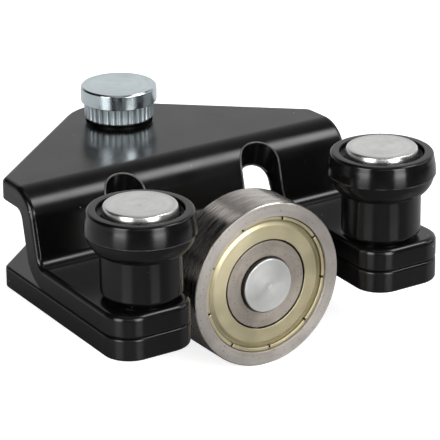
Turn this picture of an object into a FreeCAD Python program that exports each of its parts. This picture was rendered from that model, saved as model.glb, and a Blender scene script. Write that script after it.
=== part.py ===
import FreeCAD, Part
import math
import os
from collections import namedtuple

# Roller carriage of a sliding door: a folded bracket and a base plate form a fork for the door's arm,
# a ball bearing carries the load on the rail and two flanged rollers guide it in the channel.
# Millimetres. The origin is on the pivot's axis, halfway between the plates. +X along the rail,
# +Y from the rail towards the pivot, +Z up.

# Sheet and folds
sheet = 4.1
bend_radius = 2.0
outer_edge_round = 1.0
inner_edge_round = 0.5
clevis_gap = 12.6

# Plan of both plates, from the pivot's axis and the middle plane
half_width = 33.1
ear_half_width = 34.3
side_corner = 14.7
side_corner_radius = 2.0
apex_radius = 10.5
ear_front = 55.7
ear_corner_radius = 5.0
ear_inner_front = 17.7

# Leaning wall: where its mid-plane meets the mid-planes of the top plate and the ears
wall_head = 23.0
wall_foot = 26.0

# Arched slots beside the centre tab, and the tab's knee
slot_x = 14.3
slot_radius = 4.1
slot_foot_half = 4.6
slot_arch_drop = 5.4
slot_apex = 23.0
slot_rake = 0.244
tab_knee_drop = 8.2
notch_corner_radius = 4.0
notch_clearance = 2.5

# Load wheel: a deep groove ball bearing, 10 x 30 x 9
bearing_bore = 10.0
bearing_diameter = 30.0
bearing_width = 9.0
tread_chamfer = 0.2
bore_chamfer = 0.2
inner_ring_recess = 0.6
bearing_front = 49.0
wheel_rise = 0.3
ball_count = 8
ball_diameter = 4.762
pitch_diameter = 20.0
groove_ratio = 1.042
race_clearance = 0.02
inner_shoulder_offset = 2.05
outer_shoulder_offset = 1.9

# Bearing cage, pressed from two strips and riveted
cage_strip = 0.45
cage_width = 2.0
pocket_clearance = 0.1
cage_rivet_radius = 0.35
cage_rivet_head_radius = 0.6
cage_rivet_head = 0.25

# Bearing shields, crimped into the outer ring
shield_sheet = 0.3
shield_seat_width = 0.65
shield_recess_depth = 1.2
shield_rim_clearance = 0.1
shield_rim_width = 0.55
shield_rim_set_in = 0.4
shield_groove_width = 0.5
shield_slope_width = 0.55
shield_disc_set_in = 0.6
shield_bore_clearance = 0.2
shield_notches = 9
shield_notch_width = 0.35
shield_notch_phase = -6.5

# Load axle
axle_fit = 0.01
axle_proud = 0.3
axle_chamfer = 0.2
axle_centre_radius = 0.7
axle_centre_depth = 0.3
axle_collar_radius = 7.0
axle_tenon_radius = 4.0
axle_tail_radius = 5.6
axle_tail_height = 2.0
rivet_clearance = 0.05

# Guide rollers
roller_inset = 9.3
roller_set_back = 7.6
roller_play = 0.1
roller_running_clearance = 0.06
roller_boss_height = 0.5
roller_boss_wall = 1.24
barrel_radius = 7.08
barrel_height = 7.6
barrel_edge = 0.8
flange_lower_height = 3.65
flange_upper_height = 3.9
flange_radius = 9.66
flange_taper = 0.5
flange_bulge = 0.37
flange_edge = 0.3
flange_rim = 2.11
flare_reach = 0.7
flare_level = 0.4
parting_step = 0.3
counterbore_depth = 1.8

# Guide pins
guide_journal_radius = 4.5
guide_tenon_radius = 3.5
guide_head_clearance = 1.07
guide_head_rise = 0.8
guide_head_bevel = 0.23
guide_head_bevel_height = 0.85
guide_tail_radius = 5.2
guide_tail_height = 1.8

# Pivot pin, set but not yet driven home
pivot_shank_radius = 6.1
pivot_clearance = 0.1
pivot_proud = 4.0
pivot_tail = 1.5
pivot_lead_in = 1.0
pivot_head_overhang = 0.94
pivot_head_height = 2.9
pivot_head_edge = 0.3
knurl_depth = 0.35
knurl_gap = 0.7
knurl_teeth = 31
knurl_lead_in = 0.45
neck_radius = 5.5
neck_sink = 0.5

# Levels and places that follow from the sizes above
top_under = clevis_gap / 2
top_face = top_under + sheet
top_mid = top_under + sheet / 2
base_face = -clevis_gap / 2
base_under = base_face - sheet
ear_face = base_face + sheet
ear_mid = base_face + sheet / 2
wheel_z = base_face + wheel_rise
wheel_y = bearing_width / 2 - bearing_front
wheel_half = bearing_width / 2
ball_radius = ball_diameter / 2
pitch_radius = pitch_diameter / 2
groove_radius = ball_radius * groove_ratio
inner_shoulder = pitch_radius - inner_shoulder_offset
outer_shoulder = pitch_radius + outer_shoulder_offset
inner_ring_half = wheel_half - inner_ring_recess
shield_recess = outer_shoulder + shield_seat_width
wall_lean = (wall_foot - wall_head) / (top_mid - ear_mid)
knee_y = -wall_head - wall_lean * tab_knee_drop
tab_front = knee_y - sheet / 2
tab_back = knee_y + sheet / 2
tab_half = slot_x - slot_foot_half
fold_turn = math.pi / 2 - math.atan(wall_lean)
fold_start = -wall_foot - (bend_radius + sheet / 2) * math.tan(fold_turn / 2)
ear_inner_root = slot_x + slot_foot_half
roller_x = ear_half_width - roller_inset
roller_y = ear_front - roller_set_back
roller_foot = ear_face + roller_play
barrel_foot = roller_foot + roller_boss_height
flange_foot = barrel_foot + barrel_height
parting = flange_foot + flange_lower_height
roller_top = parting + flange_upper_height
counterbore_floor = roller_top - counterbore_depth
counterbore_radius = flange_radius - flange_rim
clear_of_part = ear_half_width + ear_front

same_point = 1e-7
on_outline = 1e-3
level_rise = 1e-2

V = FreeCAD.Vector
Bow = namedtuple("Bow", "through end")


def section(place, start, *steps):
    """Closed face of straight steps to points and of arcs, given as Bow. place makes a point 3-D."""
    edges = []
    here = place(*start)
    for step in steps + (start,):
        if isinstance(step, Bow):
            end = place(*step.end)
            edges.append(Part.Arc(here, place(*step.through), end).toShape())
        else:
            end = place(*step)
            if here.distanceToPoint(end) > same_point:
                edges.append(Part.LineSegment(here, end).toShape())
        here = end
    return Part.Face(Part.Wire(edges))


def in_plan(x, y):
    return V(x, y, 0)


def in_front_view(x, z):
    return V(x, 0, z)


def turned_upright(x, y, *profile):
    """Solid turned about the vertical axis at (x, y), from a profile of (radius, height)."""
    face = section(lambda r, z: V(x + r, y, z), *profile)
    return face.revolve(V(x, y, 0), V(0, 0, 1), 360)


def turned_on_axle(*profile):
    """Solid turned about the load wheel's axis, from a profile of (radius, distance behind mid-width)."""
    face = section(lambda r, y: V(r, wheel_y + y, wheel_z), *profile)
    return face.revolve(V(0, 0, wheel_z), V(0, 1, 0), 360)


def corner_arc(start, corner, end):
    """Quarter arc that rounds a square corner off, from start to end."""
    inside = math.sqrt(0.5)
    middle = [s + e - c + inside * (2 * c - s - e) for s, c, e in zip(start, corner, end)]
    return Bow(tuple(middle), end)


def dome(radius, base, height):
    """Arc of a riveted tail, from its rim to the axis, on a sphere centred on that axis."""
    sphere = (radius ** 2 + height ** 2) / (2 * abs(height))
    drop = sphere - math.sqrt(sphere ** 2 - radius ** 2 / 4)
    return Bow((radius / 2, base + height - math.copysign(drop, height)), (0, base + height))


def upright_bore(x, y, radius):
    """Cutter for a vertical hole through the whole part."""
    return Part.makeCylinder(radius, 2 * clear_of_part, V(x, y, -clear_of_part))


def round_the_wheel(shape, degrees):
    """Copy of a shape turned about the load wheel's axis, from +X towards +Z."""
    copy = shape.copy()
    copy.rotate(V(0, 0, wheel_z), V(0, -1, 0), degrees)
    return copy


def rounded_polygon(corners):
    """Plan face of a polygon with corners (x, y, radius). A radius of 0 leaves the corner sharp."""
    steps = []
    for index, (x, y, radius) in enumerate(corners):
        if radius == 0:
            steps.append((x, y))
            continue
        following = corners[(index + 1) % len(corners)]
        corner = V(x, y, 0)
        before = (V(*corners[index - 1][:2], 0) - corner).normalize()
        after = (V(*following[:2], 0) - corner).normalize()
        bisector = (before + after).normalize()
        half_angle = before.getAngle(after) / 2
        start = corner + before * (radius / math.tan(half_angle))
        through = corner + bisector * (radius / math.sin(half_angle) - radius)
        end = corner + after * (radius / math.tan(half_angle))
        steps += [(start.x, start.y), Bow((through.x, through.y), (end.x, end.y))]
    return section(in_plan, *steps)


def plate_plan(notch_back, notch_radius):
    """Plan shared by both plates: round apex, diagonals, sides that flare, and two ears beside a notch."""
    corner_reach = math.hypot(half_width, side_corner)
    diagonal = math.acos(apex_radius / corner_reach) - math.atan2(side_corner, half_width)
    notch_slope = (ear_inner_root - ear_inner_front) / (ear_front + fold_start)
    notch_half = ear_inner_front + notch_slope * (ear_front + notch_back)
    right = [
        (half_width, -side_corner, side_corner_radius),
        (ear_half_width, -ear_front, ear_corner_radius),
        (ear_inner_front, -ear_front, ear_corner_radius),
        (notch_half, notch_back, notch_radius),
    ]
    left = [(-x, y, radius) for x, y, radius in reversed(right)]
    apex = (0, apex_radius / math.sin(diagonal), apex_radius)
    return rounded_polygon([apex] + right + left)


def folded_sheet(route, x_from, x_to):
    """Sheet folded along a route of (y, z) points on its mid-plane, from x_from to x_to."""
    points = [V(0, y, z) for y, z in route]
    runs = [(after - before).normalize() for before, after in zip(points, points[1:])]
    normals = [V(0, -run.z, run.y) for run in runs]
    mid_radius = bend_radius + sheet / 2
    faces = []
    for shift in (sheet / 2, -sheet / 2):
        steps = [points[0] + normals[0] * shift]
        for corner, run_in, run_out, before, after in zip(points[1:], runs, runs[1:], normals, normals[1:]):
            turn = math.copysign(1, before.cross(after).x)
            tangent = mid_radius * math.tan(before.getAngle(after) / 2)
            centre = corner - run_in * tangent + before * (turn * mid_radius)
            outwards = (before + after).normalize() * (shift - turn * mid_radius)
            start = corner - run_in * tangent + before * shift
            end = corner + run_out * tangent + after * shift
            steps.append((start, centre + outwards, end))
        steps.append(points[-1] + normals[-1] * shift)
        faces.append(steps)
    upper, lower = faces
    outline = [upper[0]]
    for start, through, end in upper[1:-1]:
        outline += [start, Bow(through, end)]
    outline += [upper[-1], lower[-1]]
    for start, through, end in reversed(lower[1:-1]):
        outline += [end, Bow(through, start)]
    outline.append(lower[0])
    strip = section(V, *outline).extrude(V(x_to - x_from, 0, 0))
    strip.translate(V(x_from, 0, 0))
    return strip


def right_slot():
    """Cutter for the right slot: a raked cut through the upper fold, and an arch through the wall."""
    arch_z = top_face - slot_arch_drop - slot_radius
    left, right = slot_x - slot_radius, slot_x + slot_radius
    left_foot, right_foot = slot_x - slot_foot_half, slot_x + slot_foot_half
    arch = section(in_front_view, (left, arch_z), Bow((slot_x, arch_z + slot_radius), (right, arch_z)),
                   (right_foot, ear_face), (right_foot, -clear_of_part), (left_foot, -clear_of_part),
                   (left_foot, ear_face))
    arch.translate(V(0, fold_start, 0))
    through_wall = arch.extrude(V(0, clear_of_part, 0))
    drop = top_face - arch_z
    bow_y = -slot_apex - slot_radius
    bay = section(in_plan, (left, -ear_front), (left, bow_y), Bow((slot_x, -slot_apex), (right, bow_y)),
                  (right, -ear_front))
    bay.translate(V(0, 0, top_face))
    through_fold = bay.extrude(V(0, slot_rake * drop, -drop))
    return through_wall.fuse(through_fold)


def left_hand(shape):
    """Mirror image of a right-hand shape."""
    return shape.mirror(V(0, 0, 0), V(1, 0, 0))


def rim_edges(plan, solid, facing):
    """Edges on the plan's outline that bound an upper face of the sheet (facing 1) or a lower one (-1)."""
    rim = []
    for edge in solid.Edges:
        middle = edge.valueAt((edge.FirstParameter + edge.LastParameter) / 2)
        off_plan = Part.Vertex(V(middle.x, middle.y, 0)).distToShape(plan.OuterWire)[0]
        if off_plan > on_outline:
            continue
        for face in solid.ancestorsOfType(edge, Part.Face):
            rise = face.normalAt(*face.Surface.parameter(middle)).z
            if facing * rise > level_rise:
                rim.append(edge)
    return rim


def rounded_along(plan, solid, upper_round, lower_round):
    """Solid with its edges that follow the plan's outline rounded over, above and below."""
    above = solid.makeFillet(upper_round, rim_edges(plan, solid, 1))
    return above.makeFillet(lower_round, rim_edges(plan, above, -1))


def flat_plate(plan, under):
    """Blanked plate with its underside at a level."""
    plate = plan.extrude(V(0, 0, sheet))
    plate.translate(V(0, 0, under))
    return plate


def bracket():
    """Folded sheet: top plate, leaning wall, two ears, two slots and the tab for the load axle."""
    head, foot = (-wall_head, top_mid), (-wall_foot, ear_mid)
    wall_middle = ((head[0] + foot[0]) / 2, (head[1] + foot[1]) / 2)
    side = ear_half_width + sheet
    top = folded_sheet([(apex_radius + sheet, top_mid), head, wall_middle], -side, side)
    leg = folded_sheet([wall_middle, foot, (fold_start, ear_mid)], slot_x, side)
    tab = folded_sheet([wall_middle, (knee_y, top_mid - tab_knee_drop), (knee_y, wheel_z - 2 * tab_half)],
                       -slot_x, slot_x)
    plan = plate_plan(fold_start, 0)
    column = plan.extrude(V(0, 0, 2 * clear_of_part))
    column.translate(V(0, 0, -clear_of_part))
    folds = top.fuse([leg, left_hand(leg), tab]).common(column).removeSplitter()
    tab_trim = section(in_front_view, (-slot_x, wheel_z), (-tab_half, wheel_z),
                       Bow((0, wheel_z - tab_half), (tab_half, wheel_z)), (slot_x, wheel_z),
                       (slot_x, -clear_of_part), (-slot_x, -clear_of_part))
    tab_trim.translate(V(0, fold_start, 0))
    slot = right_slot()
    cuts = [slot, left_hand(slot), tab_trim.extrude(V(0, clear_of_part, 0))]
    folds = rounded_along(plan, folds, outer_edge_round, inner_edge_round).cut(cuts)
    front = Part.makeBox(2 * side, clear_of_part, clear_of_part,
                         V(-side, fold_start - clear_of_part, base_face))
    ears = rounded_along(plan, flat_plate(plan, base_face), outer_edge_round, inner_edge_round)
    ears = ears.common(front)
    holes = [
        upright_bore(0, 0, pivot_shank_radius + pivot_clearance),
        Part.makeCylinder(axle_tenon_radius + rivet_clearance, sheet * 2,
                          V(0, tab_front - sheet / 2, wheel_z), V(0, 1, 0)),
    ]
    for x in (-roller_x, roller_x):
        holes.append(upright_bore(x, -roller_y, guide_tenon_radius + rivet_clearance))
    return folds.fuse(ears).removeSplitter().cut(holes)


def base_plate():
    """Flat plate under the ears and the top plate, notched round the load wheel and the tab."""
    notch_back = tab_back + axle_tail_height + notch_clearance
    holes = [upright_bore(0, 0, pivot_shank_radius + pivot_clearance)]
    for x in (-roller_x, roller_x):
        holes.append(upright_bore(x, -roller_y, guide_tenon_radius + rivet_clearance))
    plan = plate_plan(notch_back, notch_corner_radius)
    plate = rounded_along(plan, flat_plate(plan, base_under), inner_edge_round, inner_edge_round)
    return plate.cut(holes)


def knurled_collar(top):
    """Straight knurl of round ridges, its lower end led in so that it starts in the plate's hole."""
    pitch = 2 * math.pi / knurl_teeth
    knurl_radius = pivot_shank_radius + knurl_depth
    knurl_length = pivot_proud - knurl_gap
    steps = []
    for tooth in range(knurl_teeth):
        tip, root = (tooth + 0.5) * pitch, (tooth + 1) * pitch
        through = (knurl_radius * math.cos(tip), knurl_radius * math.sin(tip))
        end = (pivot_shank_radius * math.cos(root), pivot_shank_radius * math.sin(root))
        steps.append(Bow(through, end))
    ridges = section(in_plan, (pivot_shank_radius, 0), *steps).extrude(V(0, 0, knurl_length))
    ridges.translate(V(0, 0, top - knurl_length))
    led_in = turned_upright(0, 0, (0, top), (knurl_radius, top),
                            (knurl_radius, top - knurl_length + knurl_lead_in),
                            (pivot_shank_radius, top - knurl_length), (0, top - knurl_length))
    return ridges.common(led_in)


def pivot_pin():
    """Headed pin for the door's arm, proud by the height still to be driven, with a neck under its knurl."""
    head_under = top_face + pivot_proud
    head_top = head_under + pivot_head_height
    head = pivot_shank_radius + pivot_head_overhang
    neck_top, neck_foot = top_face + knurl_gap, top_face - neck_sink
    end = base_under - pivot_tail + pivot_proud
    pin = turned_upright(0, 0, (0, head_top), (head - pivot_head_edge, head_top),
                         (head, head_top - pivot_head_edge), (head, head_under),
                         (pivot_shank_radius, head_under), (pivot_shank_radius, neck_top),
                         (neck_radius, neck_top), (neck_radius, neck_foot),
                         (pivot_shank_radius, neck_foot), (pivot_shank_radius, end + pivot_lead_in),
                         (pivot_shank_radius - pivot_lead_in, end), (0, end))
    return pin.fuse(knurled_collar(head_under)).removeSplitter()


def load_axle():
    """Shouldered axle: journal in the bearing, collar against the tab, and a riveted tail behind it."""
    journal = bearing_bore / 2 - axle_fit
    front = -wheel_half - axle_proud
    seat, tail = tab_front - wheel_y, tab_back - wheel_y
    return turned_on_axle((0, front + axle_centre_depth), (axle_centre_radius, front),
                          (journal - axle_chamfer, front), (journal, front + axle_chamfer),
                          (journal, inner_ring_half), (axle_collar_radius, inner_ring_half),
                          (axle_collar_radius, seat), (axle_tenon_radius, seat),
                          (axle_tenon_radius, tail), (axle_tail_radius, tail),
                          dome(axle_tail_radius, tail, axle_tail_height))


def bearing_inner_ring():
    bore = bearing_bore / 2
    floor = pitch_radius - ball_radius - race_clearance
    groove = math.sqrt(groove_radius ** 2 - (floor + groove_radius - inner_shoulder) ** 2)
    half = inner_ring_half
    return turned_on_axle((inner_shoulder, -half), (inner_shoulder, -groove),
                          Bow((floor, 0), (inner_shoulder, groove)),
                          (inner_shoulder, half), (bore + bore_chamfer, half),
                          (bore, half - bore_chamfer), (bore, bore_chamfer - half),
                          (bore + bore_chamfer, -half))


def bearing_outer_ring():
    tread = bearing_diameter / 2
    seat = wheel_half - shield_recess_depth
    floor = pitch_radius + ball_radius + race_clearance
    groove = math.sqrt(groove_radius ** 2 - (outer_shoulder - floor + groove_radius) ** 2)
    return turned_on_axle((shield_recess, -wheel_half), (shield_recess, -seat),
                          (outer_shoulder, -seat), (outer_shoulder, -groove),
                          Bow((floor, 0), (outer_shoulder, groove)),
                          (outer_shoulder, seat), (shield_recess, seat),
                          (shield_recess, wheel_half), (tread - tread_chamfer, wheel_half),
                          (tread, wheel_half - tread_chamfer), (tread, tread_chamfer - wheel_half),
                          (tread - tread_chamfer, -wheel_half))


def facing_front(shape):
    """Mirror image of a piece at the back of the bearing."""
    return shape.mirror(V(0, wheel_y, 0), V(0, 1, 0))


def bearing_shield():
    """Pressed shield seated in the back of the outer ring, its rim notched where it is crimped."""
    rim = shield_recess - shield_rim_clearance
    rim_inner = rim - shield_rim_width
    groove_inner = rim_inner - shield_groove_width
    disc_edge = groove_inner - shield_slope_width
    bore = inner_shoulder + shield_bore_clearance
    seat = wheel_half - shield_recess_depth
    rim_face = wheel_half - shield_rim_set_in
    groove_face = seat + shield_sheet
    disc_face = wheel_half - shield_disc_set_in
    disc_back = disc_face - shield_sheet
    shield = turned_on_axle((bore, disc_back), (disc_edge, disc_back), (groove_inner, seat), (rim, seat),
                            (rim, rim_face), (rim_inner, rim_face), (rim_inner, groove_face),
                            (groove_inner, groove_face), (disc_edge, disc_face), (bore, disc_face))
    notch = Part.makeBox(shield_rim_width + shield_groove_width, shield_recess_depth, shield_notch_width,
                         V(groove_inner + shield_groove_width / 2, wheel_y + groove_face,
                           wheel_z - shield_notch_width / 2))
    turns = [shield_notch_phase + 360 / shield_notches * index for index in range(shield_notches)]
    return shield.cut([round_the_wheel(notch, turn) for turn in turns])


def ball_turn(index):
    return 90 + 360 / ball_count * index


def ball(index):
    sphere = Part.makeSphere(ball_radius, V(pitch_radius, wheel_y, wheel_z))
    return round_the_wheel(sphere, ball_turn(index))


def bearing_cage():
    """Rear half of the cage: a flat strip with a round pocket over each ball."""
    inner, outer = pitch_radius - cage_width / 2, pitch_radius + cage_width / 2
    pocket = ball_radius + pocket_clearance
    strip = turned_on_axle((inner, 0), (outer, 0), (outer, cage_strip), (inner, cage_strip))
    band = turned_on_axle((inner, 0), (outer, 0), (outer, wheel_half), (inner, wheel_half))
    centre = V(pitch_radius, wheel_y, wheel_z)
    cup = Part.makeSphere(pocket + cage_strip, centre).common(band)
    hollow = Part.makeSphere(pocket, centre)
    hole = Part.makeCylinder(cage_rivet_radius + rivet_clearance, bearing_width,
                             V(pitch_radius, wheel_y - wheel_half, wheel_z), V(0, 1, 0))
    turns = [ball_turn(index) for index in range(ball_count)]
    cups = [round_the_wheel(cup, turn) for turn in turns]
    hollows = [round_the_wheel(hollow, turn) for turn in turns]
    holes = [round_the_wheel(hole, turn + 180 / ball_count) for turn in turns]
    return strip.fuse(cups).cut(hollows + holes).removeSplitter()


def cage_rivets():
    """Rivets through both halves of the cage, one between each two balls."""
    grip = cage_strip + cage_rivet_head
    half = section(lambda r, y: V(pitch_radius + r, wheel_y + y, wheel_z), (0, -grip),
                   (cage_rivet_head_radius, -grip), (cage_rivet_head_radius, -cage_strip),
                   (cage_rivet_radius, -cage_strip), (cage_rivet_radius, cage_strip),
                   (cage_rivet_head_radius, cage_strip), (cage_rivet_head_radius, grip), (0, grip))
    rivet = half.revolve(V(pitch_radius, wheel_y, wheel_z), V(0, 1, 0), 360)
    turns = [ball_turn(index) + 180 / ball_count for index in range(ball_count)]
    return Part.makeCompound([round_the_wheel(rivet, turn) for turn in turns])


def guide_roller(x):
    """Moulded roller: foot boss, barrel, and a flange in two halves that step at the parting line."""
    bore = guide_journal_radius + roller_running_clearance
    boss = bore + roller_boss_wall
    lower_radius = flange_radius - parting_step
    shoulder = flange_radius - flange_taper
    shoulder_level = roller_top - flange_edge
    flare = Bow((barrel_radius + flare_reach * (lower_radius - barrel_radius),
                 flange_foot + flare_level * flange_lower_height), (lower_radius, parting))
    side = Bow((shoulder + flange_bulge, (parting + shoulder_level) / 2), (shoulder, shoulder_level))
    top_corner = corner_arc((shoulder, shoulder_level), (shoulder, roller_top),
                            (shoulder - flange_edge, roller_top))
    barrel_corner = corner_arc((barrel_radius - barrel_edge, barrel_foot), (barrel_radius, barrel_foot),
                               (barrel_radius, barrel_foot + barrel_edge))
    return turned_upright(x, -roller_y, (bore, roller_foot), (boss, roller_foot), (boss, barrel_foot),
                          (barrel_radius - barrel_edge, barrel_foot), barrel_corner,
                          (barrel_radius, flange_foot), flare, (flange_radius, parting), side, top_corner,
                          (counterbore_radius, roller_top), (counterbore_radius, counterbore_floor),
                          (bore, counterbore_floor))


def guide_pin(x):
    """Headed pin: the journal stands on the ear, and the tenon is riveted under the base plate."""
    head_under = counterbore_floor + roller_play
    head_top = roller_top + guide_head_rise
    head = counterbore_radius - guide_head_clearance
    return turned_upright(x, -roller_y, (0, head_top), (head - guide_head_bevel, head_top),
                          (head, head_top - guide_head_bevel_height), (head, head_under),
                          (guide_journal_radius, head_under),
                          (guide_journal_radius, ear_face), (guide_tenon_radius, ear_face),
                          (guide_tenon_radius, base_under), (guide_tail_radius, base_under),
                          dome(guide_tail_radius, base_under, -guide_tail_height))


nodes = {
    "bracket": bracket(),
    "base_plate": base_plate(),
    "pivot_pin": pivot_pin(),
    "load_axle": load_axle(),
    "bearing_inner_ring": bearing_inner_ring(),
    "bearing_outer_ring": bearing_outer_ring(),
    "bearing_shield_front": facing_front(bearing_shield()),
    "bearing_shield_rear": bearing_shield(),
    "bearing_cage_front": facing_front(bearing_cage()),
    "bearing_cage_rear": bearing_cage(),
    "cage_rivets": cage_rivets(),
    "guide_roller_left": guide_roller(-roller_x),
    "guide_roller_right": guide_roller(roller_x),
    "guide_pin_left": guide_pin(-roller_x),
    "guide_pin_right": guide_pin(roller_x),
}
for index in range(ball_count):
    nodes[f"ball_{index + 1}"] = ball(index)

os.makedirs("parts", exist_ok=True)
for name, shape in nodes.items():
    shape.exportStep(f"parts/{name}.step")
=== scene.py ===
import bmesh
import bpy
import math
from mathutils import Matrix, Vector


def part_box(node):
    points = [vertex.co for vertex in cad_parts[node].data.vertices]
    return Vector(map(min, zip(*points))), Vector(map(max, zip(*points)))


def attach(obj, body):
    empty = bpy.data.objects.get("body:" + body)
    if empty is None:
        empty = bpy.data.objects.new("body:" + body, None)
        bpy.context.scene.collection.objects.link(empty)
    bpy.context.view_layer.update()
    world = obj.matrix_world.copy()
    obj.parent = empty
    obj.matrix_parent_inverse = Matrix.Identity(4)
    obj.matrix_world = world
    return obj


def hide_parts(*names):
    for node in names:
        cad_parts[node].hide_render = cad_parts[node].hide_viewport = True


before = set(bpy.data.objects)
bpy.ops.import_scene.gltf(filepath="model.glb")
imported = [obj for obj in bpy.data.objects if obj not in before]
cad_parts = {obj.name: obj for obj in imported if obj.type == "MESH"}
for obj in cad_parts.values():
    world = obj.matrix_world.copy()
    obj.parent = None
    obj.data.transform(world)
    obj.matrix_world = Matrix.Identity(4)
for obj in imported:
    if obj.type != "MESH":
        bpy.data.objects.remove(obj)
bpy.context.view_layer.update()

# Bracket: steel sheet, blanked and folded twice, with two slots and a tab for the load axle.
# Coated black all over, so its cut edges are softly rounded, and the coat gathers in a thin bead
# along the rims of the slots, coloured a paler grey there as a painted highlight.
mm = 0.001
merge_reach = 0.001 * mm
flat_angle = math.radians(0.3)
cut_edge_angle = math.radians(40)
hole_edge_round = 0.15 * mm
edge_segments = 4
slot_inner, slot_outer, slot_back = 9.0 * mm, 20.0 * mm, -15.0 * mm
bead_radius = 0.17 * mm
bead_sides = 10
cloud_low, cloud_high = 0.3, 0.7
coat_black = (0.003, 0.003, 0.003, 1)
coat_roughness = (0.17, 0.25)
coat_ior = 1.43
peel_strength, peel_depth = 0.06, 0.05 * mm
dust_grey = (0.16, 0.16, 0.155, 1)
# Colours of the slot rims' bead; the paler one is a painted highlight.
rim_coat_dark = (0.015, 0.015, 0.015, 1)
rim_highlight_grey = (0.12, 0.12, 0.115, 1)
rim_coat_roughness = (0.25, 0.35)


def fill(tree, node, inputs):
    """Sets a node's inputs to values, or links them to other nodes' outputs."""
    for key, value in inputs.items():
        if isinstance(value, bpy.types.NodeSocket):
            tree.links.new(value, node.inputs[key])
        else:
            node.inputs[key].default_value = value


def add(tree, kind, inputs=None, **settings):
    """New node of a kind, with its settings and then its inputs."""
    made = tree.nodes.new(kind)
    for key, value in settings.items():
        setattr(made, key, value)
    fill(tree, made, inputs or {})
    return made


def maths(tree, operation, first, second=0.0):
    """Output of a Math node."""
    return add(tree, "ShaderNodeMath", {0: first, 1: second}, operation=operation).outputs[0]


def ramp(tree, value, start, end, low=0.0, high=1.0, ease="LINEAR"):
    """Value that goes from low to high while another goes from start to end."""
    made = add(tree, "ShaderNodeMapRange", interpolation_type=ease)
    fill(tree, made, {"Value": value, "From Min": start, "From Max": end, "To Min": low, "To Max": high})
    return made.outputs["Result"]


def noise(tree, place, scale, detail, rough=0.5, **settings):
    """Output of a Noise Texture."""
    inputs = {"Vector": place, "Scale": scale, "Detail": detail, "Roughness": rough}
    return add(tree, "ShaderNodeTexNoise", inputs, **settings).outputs["Fac"]


def blended(tree, share, first, second):
    """Colour between two colours."""
    return add(tree, "ShaderNodeMix", {0: share, 6: first, 7: second}, data_type="RGBA").outputs[2]


def bump(tree, height, strength, distance):
    """Normal of a surface with a height laid over it."""
    inputs = {"Height": height, "Strength": strength, "Distance": distance}
    return add(tree, "ShaderNodeBump", inputs).outputs["Normal"]


def effect(name, place, values, outputs):
    """Empty shader node group: a vector and named values in, named values out."""
    tree = bpy.data.node_groups.new(name, "ShaderNodeTree")
    tree.interface.new_socket(place, in_out="INPUT", socket_type="NodeSocketVector")
    for label in values:
        tree.interface.new_socket(label, in_out="INPUT", socket_type="NodeSocketFloat")
    for label in outputs:
        tree.interface.new_socket(label, in_out="OUTPUT", socket_type="NodeSocketFloat")
    return tree, tree.nodes.new("NodeGroupInput").outputs, tree.nodes.new("NodeGroupOutput").inputs


patchy_gloss, given, result = effect("patchy_gloss", "Vector", ["Scale", "Least", "Most"], ["Roughness"])
cloud = noise(patchy_gloss, given["Vector"], given["Scale"], detail=4.0, rough=0.6)
spread = ramp(patchy_gloss, cloud, cloud_low, cloud_high, given["Least"], given["Most"], "SMOOTHSTEP")
patchy_gloss.links.new(spread, result["Roughness"])

specks, given, result = effect("specks", "Vector", ["Scale", "Size", "Share"], ["Mask"])
cells = add(specks, "ShaderNodeTexVoronoi", {"Vector": given["Vector"], "Scale": given["Scale"]})
dot = maths(specks, "LESS_THAN", cells.outputs["Distance"], given["Size"])
drawn = add(specks, "ShaderNodeSeparateColor", {"Color": cells.outputs["Color"]}).outputs["Red"]
chosen = maths(specks, "LESS_THAN", drawn, given["Share"])
specks.links.new(maths(specks, "MULTIPLY", dot, chosen), result["Mask"])


def placed(tree, group, **inputs):
    """Outputs of a shared effect in a material, its named inputs set or linked."""
    return add(tree, "ShaderNodeGroup", inputs, node_tree=group).outputs


def patchy(tree, place, least, most, scale):
    """Value that changes over a surface in soft patches."""
    return placed(tree, patchy_gloss, Vector=place, Scale=scale, Least=least, Most=most)["Roughness"]


def clouded(tree, place, first, second, scale):
    """Colour that changes over a surface in soft patches, between two colours."""
    return blended(tree, patchy(tree, place, 0.0, 1.0, scale), first, second)


def finish_of(name):
    """New material with its node tree, its shader and Object coordinates."""
    made = bpy.data.materials.new(name)
    made.use_nodes = True
    tree = made.node_tree
    shader = tree.nodes["Principled BSDF"]
    return made, tree, shader, tree.nodes.new("ShaderNodeTexCoord").outputs["Object"]


black_coat, tree, shader, spot = finish_of("black_coat")
dust = placed(tree, specks, Vector=spot, Scale=420.0, Size=0.07, Share=0.25)
peel = noise(tree, spot, scale=900.0, detail=2.0)
fill(tree, shader, {
    "Base Color": blended(tree, dust["Mask"], coat_black, dust_grey),
    "Roughness": patchy(tree, spot, *coat_roughness, scale=110.0),
    "Normal": bump(tree, peel, peel_strength, peel_depth), "IOR": coat_ior})

# The slot rims' bead is clouded towards a paler grey: a painted highlight along the rims.
rim_highlight_coat, tree, shader, spot = finish_of("rim_highlight_coat")
fill(tree, shader, {
    "Base Color": clouded(tree, spot, rim_coat_dark, rim_highlight_grey, scale=500.0),
    "Roughness": patchy(tree, spot, *rim_coat_roughness, scale=300.0)})


def even_normals(mesh):
    """Smooth shading with each point's normal weighted by the areas round it, so that flats stay flat."""
    mesh.shade_smooth()
    sums = [Vector() for point in mesh.vertices]
    for face in mesh.polygons:
        for index in face.vertices:
            sums[index] += face.normal * face.area
    mesh.normals_split_custom_set_from_vertices([normal.normalized() for normal in sums])


def dressed(mesh, material):
    """Gives the whole of a mesh one material."""
    mesh.materials.clear()
    mesh.materials.append(material)


def finished(name, mesh, material):
    """Object of a finished mesh with its material."""
    made = bpy.data.objects.new(name, mesh)
    bpy.context.scene.collection.objects.link(made)
    dressed(mesh, material)
    return made


def in_slot(edge):
    """Whether an edge belongs to one of the slots beside the tab."""
    middle = (edge.verts[0].co + edge.verts[1].co) / 2
    return slot_inner < abs(middle.x) < slot_outer and middle.y < slot_back


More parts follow.
